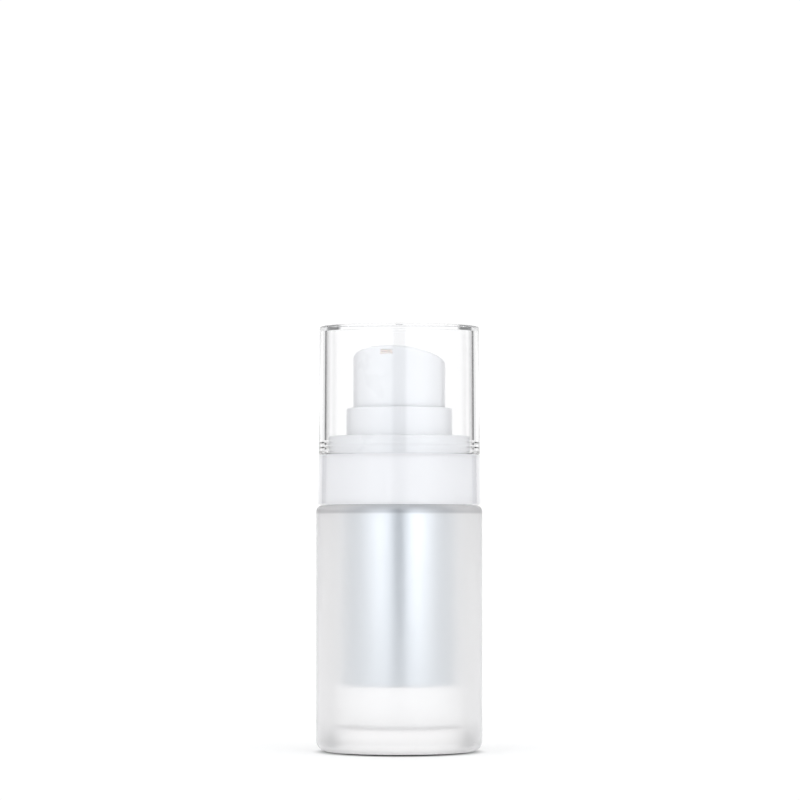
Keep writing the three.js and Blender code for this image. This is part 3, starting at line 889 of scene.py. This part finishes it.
CAMERA_TURN = math.radians(16.0)
CAMERA_DISTANCE = 0.847
CAMERA_SIDE = 0.00015
CAMERA_HEIGHT = 0.0456
CAMERA_TILT = math.radians(2.06)
CAMERA_LENS = 175.5
TABLE_RADIUS = 0.5
TABLE_SETBACK = 0.34
TABLE_SIDES = 96
TABLE_GLOW = 0.31

# Radiance round the horizon, by the angle in degrees from the camera's side; left is negative
PANELS = [
    (-180, 1.05), (-147, 1.05), (-142, 0.12), (-129, 0.12), (-123, 0.93), (-100, 0.93), (-75, 1.05),
    (-55, 1.45), (-35, 1.75), (-14, 1.5), (-6, 0.45),
    (6, 0.45), (14, 1.7), (35, 1.93), (55, 1.52),
    (75, 1.05), (100, 0.93), (123, 0.93), (129, 0.12), (142, 0.12), (147, 1.05), (180, 1.05),
]
PANEL_PEAK = 4.0
COOLNESS = 0.045
CEILING = 1.2


def camera():
    data = bpy.data.cameras.new("camera")
    data.lens = CAMERA_LENS
    data.sensor_width = 36
    data.clip_start = 0.01
    data.clip_end = 100
    view = bpy.data.objects.new("camera", data)
    view.location = (
        math.sin(CAMERA_TURN) * CAMERA_DISTANCE + math.cos(CAMERA_TURN) * CAMERA_SIDE,
        -math.cos(CAMERA_TURN) * CAMERA_DISTANCE + math.sin(CAMERA_TURN) * CAMERA_SIDE,
        CAMERA_HEIGHT,
    )
    view.rotation_euler = (math.pi / 2 + CAMERA_TILT, 0, CAMERA_TURN)
    scene.collection.objects.link(view)
    scene.camera = view


def on_table(paint, across, forward, inner):
    """1 on an oval of the table round the bottle's foot, fading to 0 from its inner share outwards; it places
    the painted contact shadow.
    """
    place = paint.nodes.new("ShaderNodeMapping")
    place.vector_type = "TEXTURE"
    shift = (forward - across) / 2 * MM
    place.inputs["Location"].default_value = (
        math.sin(CAMERA_TURN) * shift, -math.cos(CAMERA_TURN) * shift, 0)
    place.inputs["Rotation"].default_value = (0, 0, CAMERA_TURN)
    place.inputs["Scale"].default_value = (across * MM, (forward + across) / 2 * MM, 1)
    paint.links.new(paint.place, place.inputs["Vector"])
    reach = paint.nodes.new("ShaderNodeVectorMath")
    reach.operation = "LENGTH"
    paint.links.new(place.outputs["Vector"], reach.inputs[0])
    fade = paint.nodes.new("ShaderNodeMapRange")
    fade.interpolation_type = "SMOOTHSTEP"
    fade.inputs["From Min"].default_value = inner
    fade.inputs["From Max"].default_value = 1
    fade.inputs["To Min"].default_value = 1
    fade.inputs["To Max"].default_value = 0
    paint.links.new(reach.outputs["Value"], fade.inputs["Value"])
    return fade.outputs["Result"]


def white_table():
    """Matt white table, with a painted contact shadow: a black crescent in front of the bottle's foot."""
    paint = Paint("white_table", Roughness=0.9, Specular_IOR_Level=0.1)
    # Painted shadow: a black oval in front of the foot, less the circle under it, with the table's glow faded
    # out there too.
    painted_shadow = paint.nodes.new("ShaderNodeMath")
    painted_shadow.operation = "SUBTRACT"
    painted_shadow.use_clamp = True
    paint.links.new(on_table(paint, 19.5, 26.5, 0.67), painted_shadow.inputs[0])
    paint.links.new(on_table(paint, 16.2, 16.2, 0.97), painted_shadow.inputs[1])
    paint.tint(painted_shadow.outputs[0], (0.66, 0.66, 0.66), (0.01, 0.01, 0.01))
    paint.shader.inputs["Emission Color"].default_value = (1, 1, 1, 1)
    glow = paint.nodes.new("ShaderNodeMapRange")
    glow.inputs["To Min"].default_value = TABLE_GLOW
    glow.inputs["To Max"].default_value = 0
    paint.links.new(painted_shadow.outputs[0], glow.inputs["Value"])
    paint.links.new(glow.outputs["Result"], paint.shader.inputs["Emission Strength"])
    paint.bump(paint.noise(900), 0.00001)
    return paint.material


def floor():
    """A round white table that the bottle stands on."""
    mesh = bpy.data.meshes.new("floor")
    middle = Vector((-math.sin(CAMERA_TURN), math.cos(CAMERA_TURN), 0)) * TABLE_SETBACK
    turns = [math.tau * step / TABLE_SIDES for step in range(TABLE_SIDES)]
    rim = [middle + Vector((math.cos(turn), math.sin(turn), 0)) * TABLE_RADIUS for turn in turns]
    mesh.from_pydata(rim, [], [tuple(range(TABLE_SIDES))])
    piece = bpy.data.objects.new("floor", mesh)
    scene.collection.objects.link(piece)
    mesh.materials.append(white_table())


def studio_light():
    """Soft panels at both sides of the camera, a pale background and a bright ceiling."""
    world = bpy.data.worlds.new("studio")
    world.use_nodes = True
    scene.world = world
    nodes, links = world.node_tree.nodes, world.node_tree.links
    background = nodes["Background"]

    def maths(operation, first, second=None):
        node = nodes.new("ShaderNodeMath")
        node.operation = operation
        for socket, value in zip(node.inputs, (first, second)):
            if isinstance(value, (int, float)):
                socket.default_value = value
            elif value is not None:
                links.new(value, socket)
        return node.outputs[0]

    split = nodes.new("ShaderNodeSeparateXYZ")
    links.new(nodes.new("ShaderNodeTexCoord").outputs["Generated"], split.inputs[0])
    x, y, z = split.outputs
    cos, sin = math.cos(CAMERA_TURN), math.sin(CAMERA_TURN)
    across = maths("ADD", maths("MULTIPLY", x, cos), maths("MULTIPLY", y, sin))
    toward = maths("SUBTRACT", maths("MULTIPLY", x, sin), maths("MULTIPLY", y, cos))
    turn = maths("DIVIDE", maths("ARCTAN2", across, toward), 2 * math.pi)
    ramp = nodes.new("ShaderNodeValToRGB")
    links.new(maths("ADD", turn, 0.5), ramp.inputs[0])
    stops = ramp.color_ramp.elements
    ramp.color_ramp.interpolation = "EASE"
    while len(stops) < len(PANELS):
        stops.new(0.5)
    for stop, (angle, radiance) in zip(stops, PANELS):
        stop.position = angle / 360 + 0.5
        level = radiance / PANEL_PEAK
        cool = COOLNESS * max(0, 1 - abs(angle) / 90) / math.sqrt(radiance)
        stop.color = (level * (1 - cool), level, level * (1 + cool), 1)
    overhead = nodes.new("ShaderNodeMapRange")
    overhead.interpolation_type = "SMOOTHSTEP"
    overhead.inputs["From Min"].default_value = 0.45
    overhead.inputs["From Max"].default_value = 0.85
    links.new(z, overhead.inputs["Value"])
    mix = nodes.new("ShaderNodeMix")
    mix.data_type = "RGBA"
    links.new(overhead.outputs[0], mix.inputs[0])
    links.new(ramp.outputs["Color"], mix.inputs[6])
    mix.inputs[7].default_value = (CEILING / PANEL_PEAK,) * 3 + (1,)
    links.new(mix.outputs[2], background.inputs["Color"])
    background.inputs["Strength"].default_value = PANEL_PEAK


def render_settings():
    scene.view_settings.view_transform = "Standard"
    scene.view_settings.look = "None"
    cycles = scene.cycles
    cycles.use_denoising = True
    cycles.max_bounces = 24
    cycles.transmission_bounces = 24
    cycles.transparent_max_bounces = 16
    cycles.glossy_bounces = 12
    cycles.diffuse_bounces = 14
    cycles.caustics_reflective = True
    cycles.caustics_refractive = True
    cycles.blur_glossy = 0.3


glass_bottle()
silver_cup()
cup_gasket()
follower()
pump_body()
valve_cage()
valve_ball("inlet_check_ball", "inlet_ball", "inlet_valve")
valve_ball("outlet_check_ball", "outlet_ball", "outlet_valve")
plug()
wiper()
stem()
lock()
spring()
collar()
sleeve()
shroud()
press_head()
duct_core()
outlet()
clear_cap()
camera()
floor()
studio_light()
render_settings()
